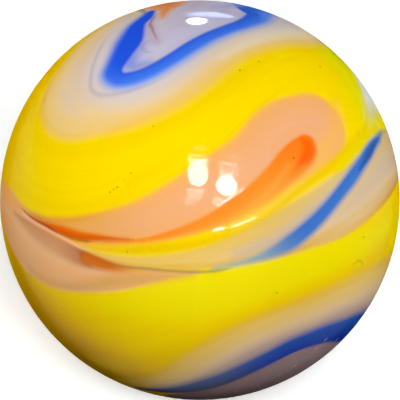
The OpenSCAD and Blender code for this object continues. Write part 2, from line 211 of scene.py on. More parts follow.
topLoop = [
    {"name": "creamTongue", "soft": (0.42, 0.34), "blurs": (0.0, 0.16, 1.5), "streak": 0.5,
     "inward": 3.6,
     "glass": [(0, "#f4c558"), (0.45, "#f2cc7a"), (0.9, "#f0cd90"), (1.4, "#e6caa6"),
               (2, "#dcc9b2"), (2.8, "#d6c6bc"), (3.6, "#d0c4c6")],
     "line": [(-4.93, 5.79, 3.4), (-3.1, 7.1, 4.5), (-1.4, 9.7, 5.25), (1.95, 13.25, 6.75),
              (3.3, 14.95, 7.35), (4.6, 12, 6, -1), (5, 9.2, 4.8, -1), (4.6, 7, 3.6, -1),
              (3.2, 5.2, 2.6, -1), (1, 4.4, 1.8, -1), (-1.4, 4.6, 1.1, -1),
              (-3.4, 5.6, 0.4, -1)]},
    {"name": "paleRing", "soft": (0.9, 0.9), "strength": 0.12,
     "glass": [(-1, "#efe2c4"), (1, "#efe2c6")],
     "line": [(-6.2, 13, 0.6), (-6.6, 11, 0.75), (-6.9, 9, 0.7), (-6.8, 7, 0.6), (-6.2, 5, 0.4),
              (-5, 4.1, 0.3), (-3.4, 4.05, 0.2), (-1.6, 4.7, 0.1)]},
    {"name": "paleShoulder", "soft": (0.9, 0.9), "strength": 0.6,
     "glass": [(-1, "#f2dfac"), (1, "#eef0e2")],
     "line": [(1, 6.2, 0.1), (2.6, 7.5, 0.3), (4.2, 8.7, 0.5), (6, 10, 0.7), (7.6, 11.4, 0.8),
              (8.6, 13, 0.6)]},
    {"name": "blueHaze", "soft": (1.1, 1.1), "strength": 0.6,
     "glass": [(-1, "#dcd6de"), (1, "#cacade")],
     "line": [(-4.6, 11.6, 0.3), (-4.5, 9.6, 0.5), (-4.75, 7.8, 0.7), (-4.75, 6, 0.75),
              (-3.9, 4.85, 0.75), (-2.6, 4.62, 0.7), (-1.2, 5.2, 0.55), (0.4, 6.6, 0.5),
              (2, 8, 0.5), (3.6, 9.3, 0.6), (5.2, 11, 0.9), (6, 13, 1)]},
    {"name": "hazeLine", "fine": True, "soft": 0.26, "strength": 0.42,
     "glass": [(-1, "#a091a8"), (1, "#a091a8")],
     "line": [(-4.9, 9.6, -0.1), (-5.15, 8.2, 0.05), (-5.2, 7, 0.08), (-5.15, 6, 0.09),
              (-4.95, 5.1, 0.09), (-4.4, 4.6, 0.09), (-3.4, 4.5, 0.07), (-2.4, 4.7, 0.04),
              (-1.4, 5.1, -0.08)]},
    {"name": "lilacPool", "soft": (0.5, 0.5), "streak": 0.5,
     "glass": [(-1, "#cbc8e2"), (0, "#cfc5da"), (1, "#d6c7cf")],
     "wisp": ("#bcaccb", 0.35),
     "line": [(-3.3, 6.3, 0.6), (-2, 7.7, 1.4), (-0.9, 9, 1.95), (0, 10.5, 2.3), (0.8, 12, 2.6),
              (1, 14, 3), (0, 13.4, 4.2, -1), (-0.2, 11, 3.6, -1), (0.4, 8.8, 2.7, -1),
              (1.6, 7, 1.5, -1)]},
    {"name": "topOrange", "soft": (0.45, 0.35), "streak": 0.5,
     "glass": [(-1, "#eea474"), (0, "#f29044"), (1, "#eca87c")],
     "line": [(-2, 9.8, 0.12), (-2.05, 10.6, 0.3), (-2, 11.4, 0.55), (-2.15, 12.4, 1.15),
              (-2.4, 13.8, 1.5), (-2.6, 15.5, 1.6), (-2.3, 12.8, 1.2, -1),
              (-1.5, 10.8, 0.7, -1), (-0.3, 9.2, 0.45, -1), (1.1, 8, 0.15, -1)]},
    {"name": "pinchLine", "fine": True, "soft": 0.3, "strength": 0.7,
     "glass": [(-1, "#6d6468"), (1, "#7d6a62")],
     "line": [(-2.9, 10.2, -0.1), (-3.15, 10.9, 0.06), (-3.6, 12, 0.14), (-4.2, 13.3, 0.2),
              (-4.7, 14.6, -0.1)]},
    {"name": "loopVeil", "soft": (0.7, 0.7), "strength": 0.8,
     "glass": [(-1, "#5f80e4"), (1, "#7f94e2")],
     "line": [(-2.95, 9.2, 0.15), (-3, 8.4, 0.3), (-3.05, 7.4, 0.45), (-3.2, 6.6, 0.5),
              (-2.95, 6, 0.35), (-2.2, 6, 0.15)]},
    {"name": "veilCurl", "fine": True, "soft": 0.25, "strength": 0.4,
     "glass": [(-1, "#8d7fb4"), (1, "#8d7fb4")],
     "line": [(-1.9, 6.6, -0.1), (-2.4, 6.75, 0.06), (-2.7, 7.1, 0.08), (-2.55, 7.5, 0.07),
              (-2.2, 7.6, -0.08)]},
    {"name": "cobaltLoop", "soft": (0.55, 0.2), "streak": 0.35,
     "glass": [(-1, "#5480ea"), (-0.35, "#2257ea"), (0.3, "#1a4ce8"), (1, "#2456e6")],
     "later": [(-1, "#7aa2f4"), (-0.2, "#427cf4"), (0.5, "#346aee"), (1, "#3062e6")],
     "turns": (0.16, 0.3),
     "line": [(-3, 11.2, 0.36), (-3.15, 10.28, 0.54), (-3.47, 9.4, 0.59), (-3.52, 8.6, 0.69),
              (-3.56, 7.78, 0.79), (-3.73, 6.97, 0.67), (-3.92, 6.28, 0.58), (-4, 5.75, 0.56),
              (-3.6, 5.24, 0.48), (-2.88, 5.17, 0.46), (-2.05, 5.45, 0.45), (-1.13, 6.11, 0.46),
              (-0.32, 6.86, 0.47), (0.44, 7.55, 0.46), (1.35, 8.29, 0.46), (2.27, 9.07, 0.52),
              (2.98, 9.87, 0.65), (3.48, 10.81, 0.82), (3.5, 11.83, 1.22), (3.7, 12.9, 1.5),
              (3.7, 14.2, 1.55), (4.2, 14, 1.4, -1), (5.2, 11.4, 1.1, -1), (5.6, 9, 0.9, -1),
              (5, 6.9, 0.75, -1), (3.4, 5.5, 0.6, -1), (1.4, 5.1, 0.45, -1),
              (-0.4, 5.6, 0.4, -1), (-1.8, 7, 0.4, -1), (-2.8, 8.8, 0.4, -1),
              (-3.6, 10.8, 0.3, -1), (-4.2, 13, 0.12, -1)]},
    # painted sheen: a paler blue streak over the cobalt loop near the top rim
    {"name": "loopPaintedSheen", "soft": (0.5, 0.5), "strength": 0.6,
     "glass": [(-1, "#8fa6ea"), (1, "#b7bfe6")],
     "line": [(0.5, 11.2, 0.1), (1.4, 11.9, 0.4), (2.2, 12.7, 0.6), (2.6, 14, 0.6),
              (2.4, 15.4, 0.4)]},
    {"name": "wineThread", "fine": True, "soft": 0.12, "strength": 0.55,
     "glass": [(-1, "#84485a"), (1, "#84485a")],
     "line": [(-2.35, 10.9, -0.08), (-2.5, 10.3, 0.05), (-2.58, 9.7, 0.08), (-2.62, 9.2, 0.09),
              (-2.45, 8.8, 0.08), (-2.3, 8.3, 0.05), (-2.1, 7.8, 0.03), (-1.95, 7.3, -0.08)]},
    {"name": "wineBloom", "soft": (0.5, 0.5), "strength": 0.28,
     "glass": [(-1, "#9a5560"), (1, "#9a5560")],
     "line": [(-2.5, 9.9, 0.1), (-2.5, 9, 0.15), (-2.3, 8.2, 0.18), (-2, 7.4, 0.2)]},
]

middleFold = [
    {"name": "peachTongue", "soft": (0.3, 0.25), "streak": 0.4, "inward": 1.2,
     "glass": [(0, "#f9b64a"), (0.3, "#f4af6c"), (0.7, "#f3af7a"), (1.2, "#f3b080")],
     "later": [(0, "#ee9e2c"), (0.3, "#ecaa50"), (0.7, "#eea95e"), (1.2, "#efaa64")],
     "turns": (0.4, 0.62),
     "line": [(5.02, 3.14, 1.63), (3.54, 2.4, 1.69), (2.23, 1.42, 1.36), (0.9, 0.57, 1.24),
              (-0.48, -0.19, 1.09), (-1.97, -0.73, 0.84), (-3.49, -1.07, 0.7), (-5, -1.2, 0.55),
              (-6.5, -1.11, 0.36), (-8, -0.8, 0.18), (-9, -0.5, 0.1), (-10, -0.15, 0.07),
              (-11.2, 0.35, 0.05)]},
    {"name": "honeySide", "soft": (1, 1), "strength": 0.7,
     "glass": [(-1, "#fbbb3e"), (1, "#f9bd64")],
     "line": [(6.4, 4.5, 0.05), (6.3, 3.8, 0.25), (6.05, 3, 0.36), (5.4, 2.2, 0.38),
              (4.6, 1.45, 0.42), (3.4, 0.58, 0.35), (2.1, -0.25, 0.25), (0.6, -0.85, 0.1)]},
    {"name": "foldShade", "soft": (0.5, 0.4), "strength": 0.5,
     "glass": [(-1, "#b96a3c"), (1, "#d08a58")],
     "line": [(-11.5, 0.6, 0.1), (-10, -0.1, 0.16), (-8.8, -0.5, 0.2), (-7.6, -0.85, 0.2),
              (-6.6, -1.1, 0.15)]},
    {"name": "tanWedge", "soft": (0.35, 0.25), "streak": 0.6,
     "glass": [(-1, "#f6ad68"), (-0.3, "#f8bc82"), (0.4, "#f8bb84"), (1, "#f6b475")],
     "wisp": ("#ecc6a0", 0.5),
     "later": [(-1, "#fcb254"), (0, "#fcb568"), (1, "#f8a84e")], "turns": (0.36, 0.5),
     "line": [(0, -2.73, 0.04), (-1, -2.82, 0.14), (-2.2, -2.95, 0.38), (-3.5, -3.05, 0.68),
              (-5, -3, 1), (-6.5, -2.85, 1.35), (-8, -2.5, 1.6), (-9.5, -1.9, 1.7),
              (-11, -1, 1.65), (-13, -0.1, 1.5), (-15, 0.3, 1.5), (-14.2, 0.9, 1.7, -1),
              (-11.8, 1.2, 2, -1), (-9.4, 0.6, 2.2, -1), (-7.2, -0.8, 2.3, -1),
              (-5.4, -2.8, 2.1, -1), (-4.2, -5, 1.7, -1), (-3.4, -7.2, 1.1, -1),
              (-2.6, -9.2, 0.4, -1)]},
    {"name": "wedgeHoney", "soft": (0.6, 0.5), "strength": 0.7,
     "glass": [(-1, "#dea448"), (1, "#dea44c")],
     "line": [(-0.3, -2.85, 0.08), (-2, -3.02, 0.26), (-3.4, -3.25, 0.3), (-5, -3.75, 0.2),
              (-7, -4, 0.14), (-9, -3.7, 0.1)]},
    {"name": "brownStreak", "soft": (0.45, 0.2), "streak": 0.4, "strength": 0.9,
     "glass": [(-1, "#e0a678"), (0, "#d99a6a"), (1, "#d08a5e")],
     "later": [(-1, "#be7042"), (1, "#aa5f38")], "turns": (0.6, 1.0),
     "line": [(-10.2, -0.6, 0.05), (-9.3, -0.98, 0.2), (-8.3, -1.38, 0.34), (-7.2, -1.79, 0.42),
              (-6.2, -2.1, 0.43), (-5.2, -2.38, 0.4), (-4.7, -2.5, 0.3)]},
    {"name": "rustPatch", "soft": (0.35, 0.2), "streak": 0.4,
     "glass": [(-1, "#dc7c26"), (0, "#d86e1a"), (1, "#cc661e")],
     "later": [(-1, "#f0ae46"), (1, "#eeac4c")], "turns": (0.45, 1.0),
     "line": [(-4.75, -2.4, 0.3), (-4.2, -2.55, 0.3), (-3.6, -2.66, 0.22), (-2.9, -2.72, 0.15),
              (-2.2, -2.75, 0.08)]},
    {"name": "rustLip", "fine": True, "soft": 0.3, "strength": 0.25,
     "glass": [(-1, "#8a4224"), (1, "#8a4224")],
     "line": [(-4.7, -1.85, -0.08), (-4.95, -2.05, 0.04), (-5.02, -2.35, 0.06),
              (-4.85, -2.6, 0.05), (-4.5, -2.8, 0.03), (-4, -2.9, -0.08)]},
    {"name": "orangeStreak", "soft": (0.18, 0.36), "streak": 0.5,
     "glass": [(-1, "#ff7c18"), (0, "#fe8420"), (1, "#fd9230")],
     "later": [(-1, "#fb8c26"), (0, "#fb922a"), (1, "#fba03c")], "turns": (0.14, 0.4),
     "line": [(4.4, 2.26, 0.45), (4.03, 1.99, 0.53), (3.5, 1.52, 0.54), (2.8, 0.86, 0.44),
              (1.95, 0.2, 0.35), (0.87, -0.54, 0.32), (-0.26, -1.04, 0.22), (-1.88, -1.51, 0.13),
              (-3, -1.64, 0.08), (-3.8, -1.7, 0.03)]},
    {"name": "orangeCore", "soft": (0.4, 0.4), "strength": 0.9,
     "glass": [(-1, "#ff5a00"), (1, "#ff6400")],
     "line": [(4.2, 2.5, 0.12), (4.45, 2.22, 0.28), (4.44, 1.9, 0.33), (4.22, 1.56, 0.28),
              (3.9, 1.2, 0.14), (3.6, 0.9, 0.03)]},
    {"name": "orangeSide", "soft": (0.3, 0.35), "strength": 0.8,
     "glass": [(-1, "#f6902c"), (1, "#f8962c")],
     "later": [(-1, "#fba23a"), (1, "#fba43c")], "turns": (0.2, 0.8),
     "line": [(4.25, 1.4, 0.08), (3.95, 1.1, 0.16), (3.5, 0.8, 0.18), (3, 0.38, 0.18),
              (2.5, 0.02, 0.16), (1.8, -0.38, 0.13), (1, -0.78, 0.08)]},
    {"name": "orangeGap", "soft": (0.3, 0.3), "strength": 0.55,
     "glass": [(-1, "#fcaa44"), (1, "#fcaa44")],
     "line": [(3.5, 1.42, 0.03), (3.2, 1, 0.08), (2.9, 0.62, 0.1), (2.45, 0.12, 0.08),
              (1.8, -0.25, 0.04)]},
    {"name": "emberStreak", "soft": (0.22, 0.22), "streak": 0.5,
     "glass": [(-1, "#f08a1c"), (-0.2, "#e86400"), (1, "#dc5800")],
     "line": [(-2.6, -1.5, 0.04), (-3.4, -1.5, 0.09), (-4.2, -1.48, 0.16), (-5, -1.45, 0.21),
              (-5.8, -1.32, 0.24), (-6.6, -1.18, 0.18), (-7.4, -1, 0.1), (-8.3, -0.76, 0.04)]},
    {"name": "emberLip", "fine": True, "soft": 0.14, "strength": 0.7,
     "glass": [(-1, "#963c04"), (1, "#963c04")],
     "line": [(-4.2, -1.68, -0.08), (-4.6, -1.7, 0.04), (-5.2, -1.66, 0.06),
              (-5.8, -1.55, 0.04), (-6.4, -1.4, -0.08)]},
    {"name": "emberGlow", "soft": (0.3, 0.3), "strength": 0.8,
     "glass": [(-1, "#fbaa46"), (1, "#fbaa46")],
     "line": [(-5.9, -1.62, 0.04), (-5.1, -1.82, 0.1), (-4.3, -1.92, 0.08), (-3.4, -1.92, 0.04)]},
    {"name": "backOrange", "soft": (0.35, 0.35), "streak": 0.5,
     "glass": [(-1, "#ff8a30"), (0, "#ff6f10"), (1, "#ff8a30")],
     "line": [(-13, 1.4, 0.1, -1), (-11, 1.3, 0.4, -1), (-9.2, 0.5, 0.65, -1),
              (-7.5, -0.8, 0.75, -1), (-6.1, -2.5, 0.65, -1), (-5.1, -4.4, 0.45, -1),
              (-4.3, -6.3, 0.2, -1)]},
    {"name": "beigeBand", "soft": (0.25, 0.3), "streak": 0.35,
     "glass": [(-1, "#e6b23c"), (-0.3, "#eec664"), (0.4, "#eec664"), (1, "#ecc254")],
     "wisp": ("#e6d6c0", 0.15),
     "later": [(-1, "#e2b468"), (-0.75, "#e2bc80"), (-0.45, "#e2c49a"), (-0.2, "#d8bea2"),
               (0.2, "#dac0a0"), (0.6, "#dcc398"), (1, "#e0c070")],
     "turns": (0.16, 0.42),
     "line": [(-5, -1.9, 0.05), (-4.2, -2.17, 0.08), (-3.2, -2.33, 0.15), (-2, -2.38, 0.22),
              (-0.4, -2.25, 0.37), (1.14, -1.92, 0.57), (2.79, -1.43, 0.86), (4.36, -0.9, 1.09),
              (5.97, -0.25, 1.31), (7.55, 0.55, 1.47), (9.3, 1.5, 1.54), (11.2, 2.38, 1.6),
              (13, 3.2, 1.7), (14.8, 3.6, 1.9), (14, 4.2, 2, -1), (12, 4, 2, -1),
              (10, 3, 1.8, -1), (8.2, 1.6, 1.6, -1), (6.2, 0.4, 1.4, -1), (4, -0.4, 1.2, -1),
              (1.6, -0.6, 0.9, -1), (-0.8, -0.2, 0.6, -1), (-3, 0.8, 0.3, -1),
              (-4.6, 1.9, 0.1, -1)]},
    {"name": "goldSeam", "soft": (0.3, 0.45),
     "glass": [(-1, "#f2c800"), (1, "#f6c800")],
     "line": [(-4.4, -1.98, 0.04), (-2.4, -1.9, 0.16), (-0.4, -1.68, 0.16), (1, -1.3, 0.12),
              (2.4, -0.72, 0.06), (3.9, 0.4, 0.1), (5.05, 1.15, 0.18), (6, 1.75, 0.22),
              (7, 2.55, 0.2), (7.8, 3.2, 0.1)]},
    {"name": "goldWedge", "soft": (0.15, 0.4),
     "glass": [(-1, "#eed800"), (1, "#f4d600")],
     "line": [(5.7, 1.16, 0.06), (6.15, 1.48, 0.19), (6.8, 1.98, 0.29), (7.4, 2.48, 0.37),
              (8.2, 3.12, 0.39), (9.1, 3.72, 0.34), (10, 4.2, 0.2)]},
    {"name": "bandGrey", "soft": (0.7, 0.7), "strength": 0.6,
     "glass": [(-1, "#b9aeb8"), (1, "#b9aeb8")],
     "line": [(1.4, -2.05, 0.1), (3.2, -1.4, 0.2), (5, -0.15, 0.22), (6.3, 0.85, 0.12),
              (7.4, 1.95, 0.05)]},
    {"name": "bandLip", "soft": (0.16, 0.7), "strength": 0.85,
     "glass": [(-1, "#e2b454"), (1, "#e4be74")],
     "later": [(-1, "#dc9230"), (1, "#dea458")], "turns": (0.3, 0.75),
     "line": [(5, -1.87, 0.04), (6.2, -1.57, 0.1), (7.4, -1.09, 0.14), (8.8, -0.47, 0.18),
              (10.2, 0.18, 0.2), (12, 1.02, 0.24), (14, 1.8, 0.24)]},
    {"name": "skyStripe", "soft": (0.3, 0.34), "streak": 0.35,
     "glass": [(-1, "#4a80cc"), (-0.5, "#3c73ca"), (0.5, "#3a70cc"), (1, "#467cca")],
     "later": [(-1, "#a6b4a0"), (0, "#90acb0"), (1, "#a4b2a0")], "turns": (0.62, 0.9),
     "line": [(10.8, 4.05, 0.06), (9.9, 3.42, 0.24), (9.15, 2.96, 0.31), (8.41, 2.4, 0.36),
              (7.61, 1.7, 0.35), (6.83, 1.01, 0.36), (6.06, 0.33, 0.33), (5.27, -0.39, 0.33),
              (4.46, -1.06, 0.35), (3.62, -1.64, 0.35), (2.93, -1.98, 0.27), (2.25, -2.22, 0.18),
              (1.5, -2.42, 0.1), (0.5, -2.6, 0.05)]},
    {"name": "stripeDeep", "soft": (0.3, 0.2), "strength": 0.85,
     "glass": [(-1, "#24509c"), (1, "#24509c")],
     "line": [(9.9, 3.45, 0.05), (9.1, 2.9, 0.16), (8.4, 2.3, 0.22), (7.8, 1.75, 0.1),
              (7.4, 1.4, 0.03)]},
    {"name": "stripeHead", "soft": (0.25, 0.25), "strength": 0.6,
     "glass": [(-1, "#7a8f86"), (1, "#7a8f86")],
     "line": [(9.5, 3.45, 0.05), (10.1, 3.75, 0.12), (10.9, 4.1, 0.12), (12, 4.5, 0.05)]},
    {"name": "backStripe", "soft": (0.2, 0.25), "streak": 0.35,
     "glass": [(-1, "#3f74dc"), (0, "#2d5fd7"), (1, "#2857cc")],
     "line": [(13.6, 4.6, 0.1, -1), (11.8, 4.4, 0.3, -1), (10, 3.5, 0.42, -1),
              (8.2, 2.1, 0.45, -1), (6.3, 0.8, 0.4, -1), (4.2, -0.1, 0.32, -1),
              (2, -0.4, 0.22, -1), (-0.2, -0.1, 0.1, -1)]},
    # painted highlight: a pale line along the lower lip of the crease
    {"name": "creasePaintedHighlight", "fine": True, "soft": 0.15, "strength": 0.75,
     "glass": [(-1, "#f6c9a2"), (1, "#f6c9a2")],
     "line": [(-9.5, -0.32, -0.1), (-9.08, -0.52, 0.03), (-8.64, -0.76, 0.04), (-8, -1, 0.045),
              (-7.3, -1.2, 0.045), (-6.44, -1.46, 0.045), (-5.68, -1.7, 0.045),
              (-5, -1.97, 0.04), (-4.4, -2.12, -0.08)]},
    # a dark line along the crease: partly its seam, partly painted shade in the groove
    {"name": "creaseSeamAndShade", "fine": True, "soft": 0.13, "strength": 0.75,
     "glass": [(-1, "#7a3c1a"), (1, "#7a3c1a")],
     "line": [(-9.6, -0.26, -0.12), (-9, -0.48, 0.02), (-8.4, -0.72, 0.04), (-7.7, -0.97, 0.045),
              (-7, -1.15, 0.045), (-6.4, -1.37, 0.03), (-5.9, -1.53, -0.06)]},
    {"name": "creaseTail", "fine": True, "soft": 0.16, "strength": 0.65,
     "glass": [(-1, "#8a7a4a"), (1, "#8a7a4a")],
     "line": [(-4, -2.5, -0.08), (-3, -2.62, 0.03), (-2, -2.66, 0.05), (-1, -2.72, 0.05),
              (0, -2.74, 0.06), (0.8, -2.68, 0.05), (1.6, -2.5, -0.08)]},
]

undertow = [
    {"name": "milkPatch", "soft": (0.5, 0.6), "streak": 0.5, "inward": 1.4,
     "glass": [(0, "#e6e6bc"), (0.5, "#efefee"), (1.4, "#f0f0f8")],
     "line": [(9.6, 5, 0.3), (10.4, 6, 0.8), (11.3, 7.2, 1.3), (12.2, 8.2, 1.9),
              (12.5, 10, 2.2), (11.4, 9.8, 2, -1), (10, 8.6, 1.4, -1), (9.3, 7, 0.8, -1),
              (8.9, 5.6, 0.3, -1)]},
    {"name": "milkFoot", "soft": (0.9, 0.9), "strength": 0.7,
     "glass": [(-1, "#d9cf7c"), (1, "#d9cf7c")],
     "line": [(9.1, 4.4, 0.2), (9.6, 4.9, 0.4), (10.3, 5.2, 0.45), (11, 5.7, 0.3)]},
    {"name": "sandBand", "soft": (0.9, 0.6), "streak": 0.8, "inward": 2.2,
     "glass": [(0, "#efbe3c"), (0.5, "#f2ca68"), (1.1, "#f0cd94"), (2.2, "#e6c8b0")],
     "line": [(-5, -11.4, 0.2), (-3, -10.5, 0.75), (-1, -9.4, 1.4), (0.8, -8.15, 1.95),
              (2.4, -7, 2.05), (4.2, -6.25, 1.95), (6.2, -5.75, 1.95), (8.2, -5.75, 2.25),
              (10.2, -6.05, 2.75), (12.2, -6.5, 3.2), (14, -6.8, 3.4), (13.3, -6.6, 3.1, -1),
              (11.1, -6.3, 2.9, -1), (8.8, -5.5, 2.5, -1), (6.6, -4.6, 2.1, -1),
              (4.4, -4.3, 1.7, -1), (2.3, -4.9, 1.4, -1), (0.7, -6.5, 1.1, -1),
              (-0.4, -8.6, 0.9, -1), (-1.2, -10.8, 0.6, -1), (-2.2, -13, 0.3, -1)]},
    {"name": "sandHaze", "soft": (0.9, 0.9), "strength": 0.75,
     "glass": [(-1, "#8e7a94"), (1, "#cdb0a4")],
     "line": [(-2.5, -10.4, 0.1), (-0.8, -9.5, 0.25), (1, -8.1, 0.35), (2.6, -6.95, 0.4),
              (4.2, -6.3, 0.4), (5.6, -6.1, 0.4), (7.1, -5.95, 0.45), (8.6, -6.15, 0.5),
              (10.4, -6.7, 0.6), (12.4, -7.6, 0.5)]},
    {"name": "mauvePool", "soft": (0.3, 0.3), "streak": 0.7,
     "glass": [(-1, "#866e6e"), (0, "#846c6e"), (1, "#8c706c")],
     "later": [(-1, "#a88e8e"), (0, "#a58c8e"), (1, "#ae908a")], "turns": (0.05, 0.3),
     "wisp": ("#9a7e86", 0.5),
     "line": [(-1, -13, 1.3), (1.5, -12, 2.2), (4, -10.8, 2.8), (6.5, -10.3, 2.9),
              (8.5, -11, 2.9), (10, -12.5, 3), (8.8, -11, 3, -1), (7, -9.4, 2.6, -1),
              (5.2, -9.2, 2.4, -1), (3.6, -10.6, 2, -1), (3, -12.6, 1.6, -1)]},
    {"name": "cobaltUndertow", "soft": (0.25, 0.5), "streak": 0.35,
     "glass": [(-1, "#3e4460"), (0, "#4a5a90"), (1, "#5a6ea4")],
     "later": [(-1, "#0e36ac"), (0.2, "#1240c4"), (1, "#2a60be")], "turns": (0.18, 0.32),
     "line": [(-4, -12.1, 0.25), (-2.8, -11.6, 0.42), (-1.52, -10.95, 0.58),
              (-0.52, -10.35, 0.66), (0.47, -9.7, 0.73), (1.49, -8.99, 0.7), (2.48, -8.26, 0.67),
              (3.46, -7.67, 0.67), (4.47, -7.2, 0.7), (5.49, -7.03, 0.72), (6.52, -7.05, 0.81),
              (7.57, -7.27, 0.9), (8.6, -7.62, 1.08), (9.8, -8.2, 1.3), (11.1, -8.9, 1.3),
              (12.3, -9.9, 1.1), (11.4, -9.4, 1.1, -1), (9.4, -7.7, 1, -1),
              (7.2, -6.4, 0.85, -1), (5, -5.9, 0.7, -1), (3, -6.6, 0.6, -1),
              (1.7, -8.2, 0.5, -1), (1, -10.2, 0.4, -1), (0.6, -12.4, 0.2, -1)]},
    {"name": "backWisp", "soft": (0.6, 0.6), "streak": 0.6, "inward": 1.0,
     "glass": [(0, "#e9cb86"), (1, "#e2cbaf")],
     "line": [(-13.4, -7.4, 0.2, -1), (-11, -6.4, 0.8, -1), (-8.8, -6.6, 1.1, -1),
              (-7.2, -8.2, 0.9, -1), (-6.4, -10.4, 0.6, -1), (-6.2, -12.8, 0.2, -1)]},
    {"name": "moonMark", "fine": True, "soft": 0.12, "strength": 0.5,
     "glass": [(-1, "#a89400"), (1, "#a89400")],
     "line": [(7.2, -3.2, -0.06), (7.36, -3.02, 0.03), (7.62, -2.92, 0.04), (7.9, -3, 0.04),
              (8.1, -3.2, 0.03), (8.1, -3.4, -0.06)]},
]

streakPlan = {
    "across": 2.6,           # streaks to a millimetre, across a stream
    "along": 0.3,            # streaks to a millimetre, along it
    "apart": 3.7,            # keeps one stream's streaks from repeating in the next
    "detail": 3.0,           # finer streaks within each one
    "roughness": 0.6,        # how strong the finer ones are
    "wisps": (-0.05, 0.22),  # the second glass comes in between these heights of the streaks
}

bodyGlass = {
    "glass": [(0, "#f7cb00"), (0.5, "#ffdc00"), (1, "#ffdc00")],   # by the streaks' height
    "roughness": 0.04,
    "ior": 1.5,
    "shine": 0.06,           # of the gloss where the glass is seen straight on
    # where each fall starts and ends, from 0 straight on to 1 at the rim, and what is left
    "shineFalls": [(0.04, 0.3, 0.014), (0.5, 0.75, 0.0)],
}

polish = {
    "scale": (1200, 1200, 9000),   # ripples to a metre: right, back and up
    "detail": 2.0,           # finer ripples within each one
    "height": 1e-7,          # m
}

streams = bodyTints + topLoop + middleFold + undertow

# small flaws: where each is on the map, and its size as a share of the sizes below. Pits are
# dark dots. Chips are dents with pale dashes that run around the map's middle: painted glints.
flawPlan = {
    "pits": [(-8.34, 5.35, 0.9), (-1.82, 2.87, 0.7), (-3.2, 0.5, 1), (-3.5, 0.31, 0.9),
             (-2.63, 1.03, 0.8), (1.7, 5.53, 1), (2.63, 6.19, 0.8), (6.2, 6.89, 1),
             (3.73, 1.67, 1.1), (-2.83, -2.02, 0.8), (7.87, -1.77, 1), (3.16, -3.81, 0.9),
             (-6.88, -5.43, 0.8)],
    "chipGlints": [(6.44, -8.26, 0.5), (5.42, -9.46, 0.55), (4.64, -10.13, 0.4), (3.47, -11.08, 0.4),
              (8.42, -8.59, 0.5), (6.96, -7.72, 0.45), (2.18, -11.54, 0.4)],
    "pitSize": (0.04, 0.04),       # half length and half width, mm
    "chipGlintSize": (0.22, 0.12),
    "pitColour": "#6e4a08",
    # the painted glint colour of the chips' dashes
    "chipGlintColour": "#d8d0d0",
    "pitShare": 0.6,         # how much of its colour the middle takes
    "chipGlintShare": 0.5,
    "fades": (0.4, 1.4),     # from the full colour to none, in units of the sizes above
    "dentSize": 0.2,         # radius of the dent at a pit or chip, mm
    "dentDeep": 0.02,        # mm
    "grooveDeep": 0.012,     # the crease is pressed in by this, mm
    "grooveWide": 0.12,      # mm
    "waveDeep": 0.006,       # the ball is out of round by up to this, mm
    # radians that each wave turns through in a radius along x, y and z, and where it starts
    "waves": [(1.3, 0.4, -0.9, 0.3), (-0.6, 1.7, 0.8, 1.9), (0.9, -1.1, 2.1, 4.2)],
}


def linear(code):
    # a written colour, hex, as the linear light that Blender's sockets take: a share of it
    # where it is dark, and a power of it elsewhere
    parts = np.array([int(code[k:k + 2], 16) for k in (1, 3, 5)]) / 255
    return (*np.where(parts <= 0.04045, parts / 12.92, ((parts + 0.055) / 1.055) ** 2.4), 1.0)


def addNode(tree, kind, inputs=None, **settings):
    # an input that is a socket is linked, and any other is set
    node = tree.nodes.new(kind)
    for key, value in settings.items():
        setattr(node, key, value)
    for key, value in (inputs or {}).items():
        if isinstance(value, bpy.types.NodeSocket):
            tree.links.new(value, node.inputs[key])
        else:
            node.inputs[key].default_value = value
    return node


def addMath(tree, operation, *values, clamp=False):
    return addNode(tree, "ShaderNodeMath", dict(enumerate(values)), operation=operation,
                   use_clamp=clamp).outputs[0]


def addRise(tree, value, start, end, low=0.0, high=1.0, kind="SMOOTHSTEP"):
    # goes from low to high as the value goes from start to end, and no further
    return addNode(tree, "ShaderNodeMapRange",
                   {"Value": value, "From Min": start, "From Max": end,
                    "To Min": low, "To Max": high}, interpolation_type=kind).outputs[0]


def addMix(tree, factor, a, b):
    # of this node's inputs 6 and 7 are the colours, and its output 2 is the mixed one
    return addNode(tree, "ShaderNodeMix", {0: factor, 6: a, 7: b}, data_type="RGBA").outputs[2]


def addRamp(tree, position, stops):
    # The stops' places run over the whole ramp, whatever their first and last are. A new ramp
    # has two stops already.
    node = addNode(tree, "ShaderNodeValToRGB", {"Fac": position})
    low, high = stops[0][0], stops[-1][0]
    elements = node.color_ramp.elements
    for k, (place, code) in enumerate(stops):
        element = elements[k] if k < 2 else elements.new(0.5)
        element.position = (place - low) / (high - low)
        element.color = linear(code)
    return node.outputs["Color"]


